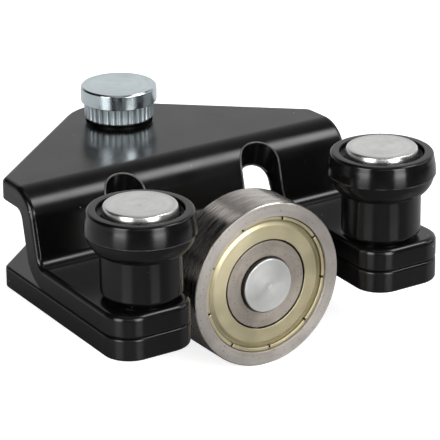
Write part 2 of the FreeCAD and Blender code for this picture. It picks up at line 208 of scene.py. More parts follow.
def merged_sheet(node):
    """Editable copy of a sheet's solid with its faces merged, and its sharp edges."""
    shape = bmesh.new()
    shape.from_mesh(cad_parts[node].data)
    bmesh.ops.remove_doubles(shape, verts=shape.verts, dist=merge_reach)
    bmesh.ops.dissolve_limit(shape, angle_limit=flat_angle, verts=shape.verts, edges=shape.edges)
    return shape, [edge for edge in shape.edges if edge.calc_face_angle(0) > cut_edge_angle]


def coated_sheet(node, name):
    """Mesh of a sheet's solid with its cut edges rounded."""
    shape, sharp = merged_sheet(node)
    bmesh.ops.bevel(shape, geom=sharp, offset=hole_edge_round, segments=edge_segments, profile=0.5,
                    affect="EDGES", clamp_overlap=True)
    mesh = bpy.data.meshes.new(name)
    shape.to_mesh(mesh)
    shape.free()
    even_normals(mesh)
    return mesh


def shaping(name, *labels):
    """Empty Geometry Nodes tree, a geometry and named values in, and the outputs of its input node."""
    tree = bpy.data.node_groups.new(name, "GeometryNodeTree")
    tree.interface.new_socket("Geometry", in_out="INPUT", socket_type="NodeSocketGeometry")
    for label in labels:
        tree.interface.new_socket(label, in_out="INPUT", socket_type="NodeSocketFloat")
    tree.interface.new_socket("Geometry", in_out="OUTPUT", socket_type="NodeSocketGeometry")
    return tree, tree.nodes.new("NodeGroupInput").outputs


def ended(tree, geometry, material):
    """Ends a Geometry Nodes tree with real faces that have a material."""
    real = add(tree, "GeometryNodeRealizeInstances", {"Geometry": geometry})
    faced = add(tree, "GeometryNodeSetMaterial", {"Geometry": real.outputs[0], "Material": material})
    tree.links.new(faced.outputs[0], tree.nodes.new("NodeGroupOutput").inputs["Geometry"])
    return tree


def grown(made, tree, inputs):
    """Gives an object the mesh that a Geometry Nodes tree makes of it, the tree's named inputs set."""
    step = made.modifiers.new(tree.name, "NODES")
    step.node_group = tree
    for socket in tree.interface.items_tree:
        if socket.in_out == "INPUT" and socket.name in inputs:
            step[socket.identifier] = inputs[socket.name]
    depsgraph = bpy.context.evaluated_depsgraph_get()
    mesh = bpy.data.meshes.new_from_object(made.evaluated_get(depsgraph))
    made.modifiers.remove(step)
    mesh.name = made.name
    even_normals(mesh)
    made.data = mesh


def beading(material):
    """Tree that lays a round bead along the edges of a mesh."""
    tree, given = shaping("coat_bead", "Radius")
    path = add(tree, "GeometryNodeMeshToCurve", {"Mesh": given["Geometry"]}).outputs[0]
    ring = add(tree, "GeometryNodeCurvePrimitiveCircle",
               {"Resolution": bead_sides, "Radius": given["Radius"]}).outputs[0]
    bead = add(tree, "GeometryNodeCurveToMesh", {"Curve": path, "Profile Curve": ring, "Fill Caps": True})
    return ended(tree, bead.outputs[0], material)


bracket = finished("bracket_coated", coated_sheet("bracket", "bracket_coated"), black_coat)
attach(bracket, "carriage")
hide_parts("bracket")

shape, sharp = merged_sheet("bracket")
rims = [[tuple(point.co) for point in edge.verts] for edge in sharp if in_slot(edge)]
shape.free()
rim_points = sorted({point for rim in rims for point in rim})
place_of = {point: index for index, point in enumerate(rim_points)}
rim_mesh = bpy.data.meshes.new("slot_rims")
rim_mesh.from_pydata(rim_points, [[place_of[point] for point in rim] for rim in rims], [])
slot_bead = finished("slot_coat_bead", rim_mesh, rim_highlight_coat)
grown(slot_bead, beading(rim_highlight_coat), {"Radius": bead_radius})
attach(slot_bead, "carriage")

# Base plate: flat steel plate of the same sheet under the ears, notched round the load wheel.
# Blanked, coated black with the bracket and held to it by the guide pins.
base_plate = finished("base_plate_coated", coated_sheet("base_plate", "base_plate_coated"), black_coat)
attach(base_plate, "carriage")
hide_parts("base_plate")

# Pivot pin: turned steel with a plain head and a straight knurl, set in both plates, not driven home.
# Zinc plated, blue-white, with fine turning marks round its head. Painted shade greys the knurl's valleys,
# and the knurl's foot and the neck below it are darkened nearly black.
pivot_low, pivot_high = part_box("pivot_pin")
head_radius = pivot_high.x
pivot_head_height = 2.9 * mm
pivot_head_edge = 0.3 * mm
head_rim_round = 0.12 * mm
turned_round = 0.1 * mm
shank_radius = 6.1 * mm
shank_lead_in = 1.0 * mm
knurl_depth = 0.35 * mm
knurl_length = 3.3 * mm
knurl_lead_in = 0.45 * mm
knurl_teeth = 31
tooth_columns = 12
lead_in_rows = (1, 0.66, 0.33, 0)
knurl_reach, least_radius = 0.01 * mm, 0.1 * mm
weld_reach = 0.0001 * mm
neck_radius = 5.5 * mm
neck_length = 1.2 * mm
zinc_white = (0.69, 0.78, 0.815, 1)
zinc_grey = (0.58, 0.66, 0.695, 1)
zinc_roughness = (0.16, 0.24)
knurl_roughness = 0.42
knurl_valley_shade = (0.09, 0.095, 0.1, 1)
valley_reach, valley_cover = 0.16 * mm, 0.9
knurl_foot_black = (0.012, 0.012, 0.012, 1)
foot_dark_rise = 0.25 * mm
knurl_edge_ragged = 0.5 * mm
mark_strength, mark_depth = 0.4, 0.02 * mm
side_start, dull_share = 0.9, 1.6
across_the_turn = 0.25
head_under = pivot_high.z - pivot_head_height
knurl_foot = head_under - knurl_length
neck_foot = knurl_foot - neck_length


def rounded(outline, steps=4):
    """Points of an outline, in which a corner given as (radius, along, round) becomes a small arc."""
    points = []
    for before, corner, after in zip(outline[-1:] + outline[:-1], outline, outline[1:] + outline[:1]):
        tip = Vector((*corner[:2], 0))
        if len(corner) == 2:
            points.append(tip)
            continue
        back = (Vector((*before[:2], 0)) - tip).normalized()
        onward = (Vector((*after[:2], 0)) - tip).normalized()
        half = back.angle(onward) / 2
        centre = tip + (back + onward).normalized() * corner[2] / math.sin(half)
        start = (tip + back * corner[2] / math.tan(half) - centre).normalized()
        end = (tip + onward * corner[2] / math.tan(half) - centre).normalized()
        points += [centre + start.slerp(end, step / steps) * corner[2] for step in range(steps + 1)]
    return points


def bow(start, through, end, steps=8):
    """Points of the arc between start and end, ends left out."""
    (x1, y1), (x2, y2), (x3, y3) = start, through, end
    cross = 2 * (x1 * (y2 - y3) + x2 * (y3 - y1) + x3 * (y1 - y2))
    squares = [x1 * x1 + y1 * y1, x2 * x2 + y2 * y2, x3 * x3 + y3 * y3]
    cx = (squares[0] * (y2 - y3) + squares[1] * (y3 - y1) + squares[2] * (y1 - y2)) / cross
    cy = (squares[0] * (x3 - x2) + squares[1] * (x1 - x3) + squares[2] * (x2 - x1)) / cross
    first = math.atan2(y1 - cy, x1 - cx)
    turn = (math.atan2(y3 - cy, x3 - cx) - first + math.pi) % (2 * math.pi) - math.pi
    radius = math.hypot(x1 - cx, y1 - cy)
    angles = [first + turn * step / steps for step in range(1, steps)]
    return [(cx + radius * math.cos(angle), cy + radius * math.sin(angle)) for angle in angles]


def evenly(count):
    """Angles all the way round, evenly spaced."""
    return [2 * math.pi * index / count for index in range(count)]


def upright(x, y):
    """Place of a turned point about the upright axis at (x, y)."""
    return lambda radius, along, angle: (x + radius * math.cos(angle), y + radius * math.sin(angle), along)


def turned(name, outline, place, angles):
    """Mesh turned from an outline. Its UV map holds the turn and the distance along the outline."""
    shape = bmesh.new()
    points = rounded(outline)
    solid = points[0].x == 0
    columns = []
    for angle in angles:
        columns.append([shape.verts.new(place(p.x, p.y, angle)) for p in points])
    lengths = [0.0]
    for here, there in zip(points, points[1:] + points[:1]):
        lengths.append(lengths[-1] + (there - here).length)
    layer = shape.loops.layers.uv.new("turned")
    rows = len(points) - 1 if solid else len(points)
    for index, column in enumerate(columns):
        beside = columns[(index + 1) % len(columns)]
        share = (index / len(columns), (index + 1) / len(columns))
        for row in range(rows):
            following = (row + 1) % len(points)
            face = shape.faces.new((column[row], beside[row], beside[following], column[following]))
            span = (lengths[row], lengths[row + 1])
            for loop, u, v in zip(face.loops, (0, 1, 1, 0), (0, 0, 1, 1)):
                loop[layer].uv = (share[u], span[v])
    bmesh.ops.remove_doubles(shape, verts=shape.verts, dist=weld_reach)
    bmesh.ops.recalc_face_normals(shape, faces=shape.faces)
    mesh = bpy.data.meshes.new(name)
    shape.to_mesh(mesh)
    shape.free()
    return mesh


def product(tree, first, *others):
    """Product of two or more values."""
    for other in others:
        first = maths(tree, "MULTIPLY", first, other)
    return first


def parts_of(tree, vector):
    """X, Y and Z of a vector."""
    return add(tree, "ShaderNodeSeparateXYZ", {"Vector": vector}).outputs


def between(tree, share, first, second):
    """Value between two values."""
    return add(tree, "ShaderNodeMix", {0: share, 2: first, 3: second}).outputs[0]


def distance_from(tree, place, across, centre):
    """Distance of a place from a centre, measured only along the axes for which across is 1."""
    flat = add(tree, "ShaderNodeVectorMath", {0: place, 1: across}, operation="MULTIPLY").outputs[0]
    return add(tree, "ShaderNodeVectorMath", {0: flat, 1: centre}, operation="DISTANCE").outputs["Value"]


def own_map(tree):
    """The UV map of a turned piece."""
    return add(tree, "ShaderNodeUVMap", uv_map="turned").outputs["UV"]


turning_marks, given, result = effect(
    "turning_marks", "UV", ["Lines", "Breaks", "From"], ["Height", "Streak", "Side"])
turn, along = parts_of(turning_marks, given["UV"])[:2]
line = add(turning_marks, "ShaderNodeCombineXYZ",
           {"X": product(turning_marks, turn, given["Breaks"]),
            "Y": product(turning_marks, along, given["Lines"])}).outputs[0]
fine = noise(turning_marks, line, scale=1.0, detail=3.0, noise_dimensions="2D")
broad = noise(turning_marks, line, scale=0.17, detail=2.0, noise_dimensions="2D")
side = ramp(turning_marks, along, product(turning_marks, given["From"], side_start), given["From"])
turning_marks.links.new(product(turning_marks, fine, side), result["Height"])
turning_marks.links.new(broad, result["Streak"])
turning_marks.links.new(side, result["Side"])


def turned_metal(name, pale, dull, lines, breaks, sides_from, end_gloss, side_gloss, grain):
    """Turned metal: two close tints, a cloudy end, and from a distance along its outline, lined sides.

    end_gloss and side_gloss are the least and the most roughness there, and grain the anisotropy.
    """
    made, tree, shader, spot = finish_of(name)
    marks = placed(tree, turning_marks, UV=own_map(tree), Lines=lines, Breaks=breaks, From=sides_from)
    share = product(tree, marks["Streak"], noise(tree, spot, scale=350.0, detail=5.0), dull_share)
    end = patchy(tree, spot, *end_gloss, scale=420.0)
    flank = patchy(tree, spot, *side_gloss, scale=260.0)
    around = add(tree, "ShaderNodeTangent", direction_type="UV_MAP", uv_map="turned")
    fill(tree, shader, {
        "Base Color": blended(tree, share, pale, dull),
        "Roughness": between(tree, marks["Side"], end, flank),
        "Normal": bump(tree, marks["Height"], mark_strength, mark_depth),
        "Tangent": around.outputs[0],
        "Metallic": 1.0, "Anisotropic": grain, "Anisotropic Rotation": across_the_turn})
    return made, tree, shader, spot


def stained_or_shaded(tree, shader, share, overlay):
    """Lays a colour over a metal's own where share is 1: real stains, darkening and painted shade."""
    colour = shader.inputs["Base Color"]
    tree.links.new(blended(tree, share, colour.links[0].from_socket, overlay), colour)


def reglossed(tree, shader, share, roughness):
    """Gives a metal another roughness where share is 1."""
    gloss = shader.inputs["Roughness"]
    tree.links.new(between(tree, share, gloss.links[0].from_socket, roughness), gloss)


def hypotenuse(tree, first, second):
    """Distance of a point from an axis, from its coordinates across the axis."""
    squares = product(tree, first, first), product(tree, second, second)
    return maths(tree, "SQRT", maths(tree, "ADD", *squares))


def shifted(tree, geometry, offset, material):
    """Ends a Geometry Nodes tree that moves points along the axes."""
    shift = add(tree, "ShaderNodeCombineXYZ", offset).outputs[0]
    moved = add(tree, "GeometryNodeSetPosition", {"Geometry": geometry, "Offset": shift})
    return ended(tree, moved.outputs[0], material)


def knurling(material):
    """Tree that raises straight round ridges on an upright shank about the origin."""
    tree, given = shaping("straight_knurl", "Teeth", "Depth", "Shank", "Foot", "Head", "Lead in")
    x, y, z = parts_of(tree, tree.nodes.new("GeometryNodeInputPosition").outputs[0])
    radius = hypotenuse(tree, x, y)
    turn = product(tree, maths(tree, "ARCTAN2", y, x), given["Teeth"], 0.5)
    ridge = maths(tree, "ABSOLUTE", maths(tree, "SINE", turn))
    lead = ramp(tree, z, given["Foot"], maths(tree, "ADD", given["Foot"], given["Lead in"]))
    off_shank = maths(tree, "ABSOLUTE", maths(tree, "SUBTRACT", radius, given["Shank"]))
    on_shank = maths(tree, "LESS_THAN", off_shank, knurl_reach)
    under_head = maths(tree, "LESS_THAN", z, maths(tree, "ADD", given["Head"], knurl_reach))
    rise = product(tree, ridge, lead, given["Depth"], product(tree, on_shank, under_head))
    growth = maths(tree, "DIVIDE", rise, maths(tree, "MAXIMUM", radius, least_radius))
    offset = {"X": product(tree, x, growth), "Y": product(tree, y, growth)}
    return shifted(tree, given["Geometry"], offset, material)


pivot_zinc, tree, shader, spot = turned_metal(
    "pivot_zinc", zinc_white, zinc_grey, lines=6000.0, breaks=3.0, sides_from=6.4 * mm,
    end_gloss=zinc_roughness, side_gloss=zinc_roughness, grain=0.4)
ragged = maths(tree, "SUBTRACT", noise(tree, spot, scale=1800.0, detail=2.0), 0.5)
level = maths(tree, "ADD", parts_of(tree, spot)["Z"], product(tree, ragged, knurl_edge_ragged))
on_knurl = product(tree, maths(tree, "LESS_THAN", level, head_under),
                   maths(tree, "GREATER_THAN", level, neck_foot))
# Painted shade in the knurl's valleys: grey where the surface lies close to the shank.
from_axis = distance_from(tree, spot, (1, 1, 0), (0, 0, 0))
valley = ramp(tree, from_axis, shank_radius + valley_reach, shank_radius, high=valley_cover)
stained_or_shaded(tree, shader, product(tree, valley, on_knurl), knurl_valley_shade)
# The knurl's foot and the neck below it are darkened nearly black, up to a ragged edge.
low = ramp(tree, level, knurl_foot + foot_dark_rise, knurl_foot)
stained_or_shaded(tree, shader, product(tree, low, on_knurl), knurl_foot_black)
reglossed(tree, shader, on_knurl, knurl_roughness)
knurl_rows = [(shank_radius, knurl_foot + knurl_lead_in * share) for share in lead_in_rows]
pivot_outline = [
    (0, pivot_high.z), (head_radius - pivot_head_edge, pivot_high.z, head_rim_round),
    (head_radius, pivot_high.z - pivot_head_edge, head_rim_round), (head_radius, head_under, turned_round),
    (shank_radius, head_under), *knurl_rows, (neck_radius, knurl_foot), (neck_radius, neck_foot),
    (shank_radius, neck_foot), (shank_radius, pivot_low.z + shank_lead_in, turned_round),
    (shank_radius - shank_lead_in, pivot_low.z, turned_round), (0, pivot_low.z)]
pivot_mesh = turned("pivot_pin_turned", pivot_outline, upright(0, 0), evenly(knurl_teeth * tooth_columns))
pivot_pin = finished("pivot_pin_turned", pivot_mesh, pivot_zinc)
grown(pivot_pin, knurling(pivot_zinc), {
    "Teeth": float(knurl_teeth), "Depth": knurl_depth, "Shank": shank_radius, "Foot": knurl_foot,
    "Head": head_under, "Lead in": knurl_lead_in})
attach(pivot_pin, "carriage")
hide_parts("pivot_pin")

# Load axle: turned steel, zinc plated, riveted in the bracket's tab with a collar against it.
# Its front end, with a small centre mark, shows in the bearing's bore, darkened nearly black round its side.
axle_low, axle_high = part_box("load_axle")
wheel_low, wheel_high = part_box("bearing_outer_ring")
wheel_y = (wheel_low.y + wheel_high.y) / 2
wheel_z = (wheel_low.z + wheel_high.z) / 2
inner_low, inner_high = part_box("bearing_inner_ring")
inner_half = (inner_high.y - inner_low.y) / 2
bore_radius = 5.0 * mm
axle_fit = 0.01 * mm
journal = bore_radius - axle_fit
axle_chamfer = 0.2 * mm
centre_radius = 0.7 * mm
centre_depth = 0.06 * mm
centre_round = 0.15 * mm
collar_radius = axle_high.x
collar_round = 0.2 * mm
tenon_radius = 4.0 * mm
tail_radius = 5.6 * mm
tail_height = 2.0 * mm
sheet = 4.1 * mm
round_segments = 160
axle_pale = (0.97, 0.975, 0.96, 1)
axle_dull = (0.76, 0.77, 0.75, 1)
axle_side_dark = (0.025, 0.022, 0.02, 1)
side_dark_start, side_dark_full, side_dark_length = 4.8 * mm, 5.0 * mm, 4.0 * mm
side_dark_cover = 0.95


def on_axle(radius, along, angle):
    """Place of a turned point about the load wheel's axis, along from its middle."""
    return (radius * math.cos(angle), wheel_y + along, wheel_z + radius * math.sin(angle))


def dome(radius, base, height):
    """Outline of a riveted tail, from its rim to the axis."""
    sphere = (radius ** 2 + height ** 2) / (2 * abs(height))
    drop = sphere - math.sqrt(sphere ** 2 - radius ** 2 / 4)
    tip = (0, base + height)
    through = (radius / 2, base + height - math.copysign(drop, height))
    return [(radius, base), *bow((radius, base), through, tip), tip]


axle_front = axle_low.y - wheel_y
tail_base = axle_high.y - tail_height - wheel_y
axle_outline = [
    (0, axle_front + centre_depth), (centre_radius, axle_front, centre_round),
    (journal - axle_chamfer, axle_front, turned_round), (journal, axle_front + axle_chamfer, turned_round),
    (journal, inner_half), (collar_radius, inner_half, collar_round), (collar_radius, tail_base - sheet),
    (tenon_radius, tail_base - sheet), (tenon_radius, tail_base), *dome(tail_radius, tail_base, tail_height)]
axle_mesh = turned("load_axle_turned", axle_outline, on_axle, evenly(round_segments))
even_normals(axle_mesh)
axle_zinc, tree, shader, spot = turned_metal(
    "axle_zinc", axle_pale, axle_dull, lines=6000.0, breaks=3.0, sides_from=5.2 * mm,
    end_gloss=(0.42, 0.5), side_gloss=(0.3, 0.4), grain=0.2)
# Darkened nearly black round the side, near the front end.
along = parts_of(tree, own_map(tree))["Y"]
on_side = ramp(tree, along, side_dark_start, side_dark_full, high=side_dark_cover)
near_front = maths(tree, "LESS_THAN", along, journal + side_dark_length)
stained_or_shaded(tree, shader, product(tree, on_side, near_front), axle_side_dark)
load_axle = finished("load_axle_turned", axle_mesh, axle_zinc)
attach(load_axle, "carriage")
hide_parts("load_axle")

# Bearing rings: hardened steel, turned, ground on the faces and the tread, with a ball groove each.
# The inner ring sits on the axle, and the outer ring is the load wheel's tread, scarred by its rail.
wheel_half = (wheel_high.y - wheel_low.y) / 2
tread_radius = (wheel_high.z - wheel_low.z) / 2
ring_chamfer = 0.2 * mm
ring_edge = 0.06 * mm
pitch_radius = 10.0 * mm
ball_radius = 2.381 * mm
groove_to_ball = 1.042
groove_radius = ball_radius * groove_to_ball
race_clearance = 0.02 * mm
inner_shoulder = inner_high.x
outer_shoulder = 11.9 * mm
shield_recess = 12.55 * mm
shield_recess_depth = 1.2 * mm
ring_pale = (0.66, 0.617, 0.58, 1)
ring_dull = (0.43, 0.395, 0.36, 1)
ring_roughness = (0.5, 0.6)
inner_pale = (0.62, 0.56, 0.5, 1)
inner_dull = (0.39, 0.345, 0.295, 1)
inner_roughness = (0.45, 0.55)
ring_dirt = (0.06, 0.05, 0.042, 1)
grain_cover = 0.3
tread_roughness = (0.1, 0.34)
brush_low, brush_high = 0.35, 0.65
scar_from, scar_cover = 0.6, 0.3
turned_all_over = 0.1 * mm
round_wheel = ((1, 0, 1), (0, 0, wheel_z))


def pitted(tree, shader, spot):
    """Lays a fine, faint dark grain over a ground metal."""
    pits = placed(tree, specks, Vector=spot, Scale=1500.0, Size=0.24, Share=0.45)
    stained_or_shaded(tree, shader, product(tree, pits["Mask"], grain_cover), ring_dirt)


inner_floor = pitch_radius - ball_radius - race_clearance
inner_groove = math.sqrt(groove_radius ** 2 - (inner_floor + groove_radius - inner_shoulder) ** 2)
groove_front, groove_back = (inner_shoulder, -inner_groove), (inner_shoulder, inner_groove)
inner_outline = [
    (inner_shoulder, -inner_half, ring_edge), groove_front,
    *bow(groove_front, (inner_floor, 0), groove_back), groove_back,
    (inner_shoulder, inner_half, ring_edge), (bore_radius + ring_chamfer, inner_half, ring_edge),
    (bore_radius, inner_half - ring_chamfer, ring_edge), (bore_radius, ring_chamfer - inner_half, ring_edge),
    (bore_radius + ring_chamfer, -inner_half, ring_edge)]
inner_mesh = turned("inner_ring_ground", inner_outline, on_axle, evenly(round_segments))
even_normals(inner_mesh)
inner_steel, tree, shader, spot = turned_metal(
    "inner_ring_steel", inner_pale, inner_dull, lines=5000.0, breaks=25.0, sides_from=turned_all_over,
    end_gloss=inner_roughness, side_gloss=inner_roughness, grain=0.3)
pitted(tree, shader, spot)
inner_ring = finished("inner_ring_ground", inner_mesh, inner_steel)
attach(inner_ring, "carriage")
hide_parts("bearing_inner_ring")

outer_floor = pitch_radius + ball_radius + race_clearance
outer_groove = math.sqrt(groove_radius ** 2 - (outer_shoulder - outer_floor + groove_radius) ** 2)
seat = wheel_half - shield_recess_depth
groove_front, groove_back = (outer_shoulder, -outer_groove), (outer_shoulder, outer_groove)
outer_outline = [
    (shield_recess, -wheel_half, ring_edge), (shield_recess, -seat), (outer_shoulder, -seat), groove_front,
    *bow(groove_front, (outer_floor, 0), groove_back), groove_back, (outer_shoulder, seat),
    (shield_recess, seat), (shield_recess, wheel_half, ring_edge),
    (tread_radius - ring_chamfer, wheel_half, ring_edge),
    (tread_radius, wheel_half - ring_chamfer, ring_edge),
    (tread_radius, ring_chamfer - wheel_half, ring_edge),
    (tread_radius - ring_chamfer, -wheel_half, ring_edge)]
outer_mesh = turned("outer_ring_ground", outer_outline, on_axle, evenly(2 * round_segments))
even_normals(outer_mesh)
ring_steel, tree, shader, spot = turned_metal(
    "bearing_steel", ring_pale, ring_dull, lines=5000.0, breaks=25.0, sides_from=turned_all_over,
    end_gloss=ring_roughness, side_gloss=ring_roughness, grain=0.3)
from_axis = distance_from(tree, spot, *round_wheel)
on_tread = maths(tree, "GREATER_THAN", from_axis, tread_radius - ring_chamfer / 2)
brushed = placed(tree, turning_marks, UV=own_map(tree), Lines=3500.0, Breaks=16.0,
                 From=turned_all_over)["Height"]
reglossed(tree, shader, on_tread, ramp(tree, brushed, brush_low, brush_high, *tread_roughness))
scar = maths(tree, "GREATER_THAN", brushed, scar_from)
stained_or_shaded(tree, shader, product(tree, scar, on_tread, scar_cover), ring_dirt)
pitted(tree, shader, spot)
outer_ring = finished("outer_ring_ground", outer_mesh, ring_steel)
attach(outer_ring, "load_wheel")
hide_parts("bearing_outer_ring")

# Balls: hardened steel, lapped, with a dark film of grease on them.
# Eight run in the grooves of the rings, parted by the cage, and stay as solids.
ball_clean = (0.3, 0.29, 0.27, 1)
ball_greased = (0.08, 0.07, 0.05, 1)
ball_roughness = (0.25, 0.45)
ball_steel, tree, shader, spot = finish_of("polished_steel")
fill(tree, shader, {
    "Base Color": clouded(tree, spot, ball_clean, ball_greased, scale=700.0),
    "Roughness": patchy(tree, spot, *ball_roughness, scale=800.0), "Metallic": 1.0})
for name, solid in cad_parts.items():
    if name.startswith("ball_"):
        dressed(solid.data, ball_steel)

# Cage and its rivets: two steel strips, pressed to pockets that hold the balls apart.
# Riveted to each other between the balls, greased with them, and kept as solids.
cage_clean = (0.4, 0.385, 0.36, 1)
cage_greased = (0.12, 0.105, 0.08, 1)
cage_roughness = (0.28, 0.4)
cage_sheet, tree, shader, spot = finish_of("cage_sheet")
fill(tree, shader, {
    "Base Color": clouded(tree, spot, cage_clean, cage_greased, scale=500.0),
    "Roughness": patchy(tree, spot, *cage_roughness, scale=600.0), "Metallic": 1.0})
for name in ("bearing_cage_front", "bearing_cage_rear", "cage_rivets"):
    dressed(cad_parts[name].data, cage_sheet)

# Shields: thin steel sheet, passivated pale gold and pressed to a dished disc with a groove and a rim.
# The rim is crimped into the outer ring's recess and notched nine times where it gives way.
shield_sheet = 0.3 * mm
shield_edge = 0.08 * mm
rim_gap, bore_gap = 0.18 * mm, 0.32 * mm
rim_width, groove_width, slope_width = 0.55 * mm, 0.5 * mm, 0.55 * mm
rim_sunk, disc_sunk = 0.4 * mm, 0.6 * mm
rim_radius = shield_recess - rim_gap
rim_inner = rim_radius - rim_width
groove_inner = rim_inner - groove_width
disc_edge = groove_inner - slope_width
shield_bore = inner_shoulder + bore_gap
rim_face = wheel_half - rim_sunk
groove_face = seat + shield_sheet
disc_face = wheel_half - disc_sunk
disc_back = disc_face - shield_sheet
disc_dish = 0.12 * mm
rim_reach = 0.01 * mm
notch_count = 9
notch_width = 0.35 * mm
notch_phase = math.radians(-6.5)
notch_lip = 0.06
between_notches = 40
half_notch = notch_width / 2 / rim_radius
notch_pitch = 2 * math.pi / notch_count
shield_gold = (0.83, 0.75, 0.515, 1)
shield_olive = (0.64, 0.565, 0.345, 1)
shield_roughness = (0.42, 0.52)
groove_shade_olive = (0.1, 0.085, 0.04, 1)
groove_shade_cover, groove_shade_reach = 0.8, 0.2 * mm
notch_shade = (0.03, 0.025, 0.015, 1)


def notching(material, side):
    """Tree that sinks the rim of a shield to its groove at evenly spaced notches. side is -1 in front."""
    tree, given = shaping("crimp_notches", "Notches", "Phase", "Half turn", "Rim from", "Groove")
    x, y, z = parts_of(tree, tree.nodes.new("GeometryNodeInputPosition").outputs[0])
    rise = maths(tree, "SUBTRACT", z, wheel_z)
    radius = hypotenuse(tree, x, rise)
    angle = maths(tree, "SUBTRACT", maths(tree, "ARCTAN2", rise, x), given["Phase"])
    pitch = maths(tree, "DIVIDE", 2 * math.pi, given["Notches"])
    nearest = maths(tree, "ROUND", maths(tree, "DIVIDE", angle, pitch))
    off = maths(tree, "ABSOLUTE", maths(tree, "SUBTRACT", angle, product(tree, nearest, pitch)))
    along = product(tree, maths(tree, "SUBTRACT", y, wheel_y), side)
    inside = product(tree, maths(tree, "LESS_THAN", off, given["Half turn"]),
                     maths(tree, "GREATER_THAN", radius, given["Rim from"]))
    proud = maths(tree, "MAXIMUM", maths(tree, "SUBTRACT", along, given["Groove"]), 0.0)
    return shifted(tree, given["Geometry"], {"Y": product(tree, proud, inside, -side)}, material)


shield_metal, tree, shader, spot = turned_metal(
    "shield_sheet", shield_gold, shield_olive, lines=2500.0, breaks=6.0, sides_from=turned_all_over,
    end_gloss=shield_roughness, side_gloss=shield_roughness, grain=0.2)
from_axis = distance_from(tree, spot, *round_wheel)
# Painted shade: the shield's groove darkens to olive towards the rim.
groove_shade_share = ramp(tree, from_axis, groove_inner - groove_shade_reach, rim_inner, high=groove_shade_cover)
in_groove = maths(tree, "LESS_THAN", from_axis, rim_inner)
stained_or_shaded(tree, shader, product(tree, groove_shade_share, in_groove), groove_shade_olive)
# Painted shade in the notches of the rim.
place = parts_of(tree, spot)
angle = maths(tree, "ARCTAN2", maths(tree, "SUBTRACT", place["Z"], wheel_z), place["X"])
turn = maths(tree, "DIVIDE", maths(tree, "SUBTRACT", angle, notch_phase), notch_pitch)
off = maths(tree, "ABSOLUTE", maths(tree, "SUBTRACT", turn, maths(tree, "ROUND", turn)))
in_notch = product(tree, maths(tree, "LESS_THAN", off, half_notch / notch_pitch),
                   maths(tree, "GREATER_THAN", from_axis, rim_inner - shield_edge))
stained_or_shaded(tree, shader, in_notch, notch_shade)
shield_angles = []
for index in range(notch_count):
    middle = notch_phase + index * notch_pitch
    shield_angles += [middle + half_notch * share for share in (-1, notch_lip - 1, 0, 1 - notch_lip, 1)]
    start, gap = middle + half_notch, notch_pitch - 2 * half_notch
    shield_angles += [start + gap * step / between_notches for step in range(1, between_notches)]
for side, end in ((-1, "front"), (1, "rear")):
    shield_outline = [
        (shield_bore, side * (disc_back + disc_dish)), (disc_edge, side * disc_back),
        (groove_inner, side * seat), (rim_radius, side * seat), (rim_radius, side * rim_face, shield_edge),
        (rim_inner, side * rim_face, shield_edge), (rim_inner, side * groove_face, shield_edge),
        (groove_inner, side * groove_face, 2 * shield_edge), (disc_edge, side * disc_face, 2 * shield_edge),
        (shield_bore, side * (disc_face + disc_dish), shield_edge)]
    shield_mesh = turned(f"shield_{end}_pressed", shield_outline, on_axle, shield_angles)
    shield = finished(f"shield_{end}_pressed", shield_mesh, shield_metal)
    grown(shield, notching(shield_metal, side), {
        "Notches": float(notch_count), "Phase": notch_phase, "Half turn": half_notch * (1 - notch_lip / 2),
        "Rim from": rim_inner - rim_reach, "Groove": groove_face})
    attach(shield, "load_wheel")
    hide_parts(f"bearing_shield_{end}")

# Guide pins: turned steel, zinc plated, with a flat bevelled head. Each stands on an ear
# and is riveted under the base plate, so that it holds the two plates together.
pin_journal = 4.5 * mm
pin_tenon = 3.5 * mm
pin_head_height = 2.5 * mm
pin_head_bevel, pin_head_bevel_height = 0.23 * mm, 0.85 * mm
pin_head_edge, pin_head_bulge = 0.4 * mm, 2.5 * mm
pin_tail_radius = 5.2 * mm
pin_tail_height = 1.8 * mm
ear_face = -2.2 * mm
base_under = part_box("base_plate")[0].z
pin_pale = (0.82, 0.82, 0.81, 1)
pin_dull = (0.66, 0.66, 0.65, 1)

zinc, tree, shader, spot = turned_metal(
    "zinc_plate", pin_pale, pin_dull, lines=6000.0, breaks=3.0, sides_from=5.6 * mm,
    end_gloss=(0.18, 0.28), side_gloss=(0.26, 0.34), grain=0.3)
for side in ("left", "right"):
    pin_low, pin_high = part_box(f"guide_pin_{side}")
    pin_x, pin_y = (pin_low.x + pin_high.x) / 2, (pin_low.y + pin_high.y) / 2
    pin_head = (pin_high.x - pin_low.x) / 2
    pin_head_under = pin_high.z - pin_head_height
    pin_outline = [
        (0, pin_high.z), (pin_head - pin_head_bevel, pin_high.z, pin_head_edge),
        (pin_head, pin_high.z - pin_head_bevel_height, pin_head_bulge), (pin_head, pin_head_under),
        (pin_journal, pin_head_under), (pin_journal, ear_face), (pin_tenon, ear_face),
        (pin_tenon, base_under), *dome(pin_tail_radius, base_under, -pin_tail_height)]
    pin_mesh = turned(f"guide_pin_{side}_turned", pin_outline, upright(pin_x, pin_y), evenly(round_segments))
    even_normals(pin_mesh)
    guide_pin = finished(f"guide_pin_{side}_turned", pin_mesh, zinc)
    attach(guide_pin, "carriage")
    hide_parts(f"guide_pin_{side}")

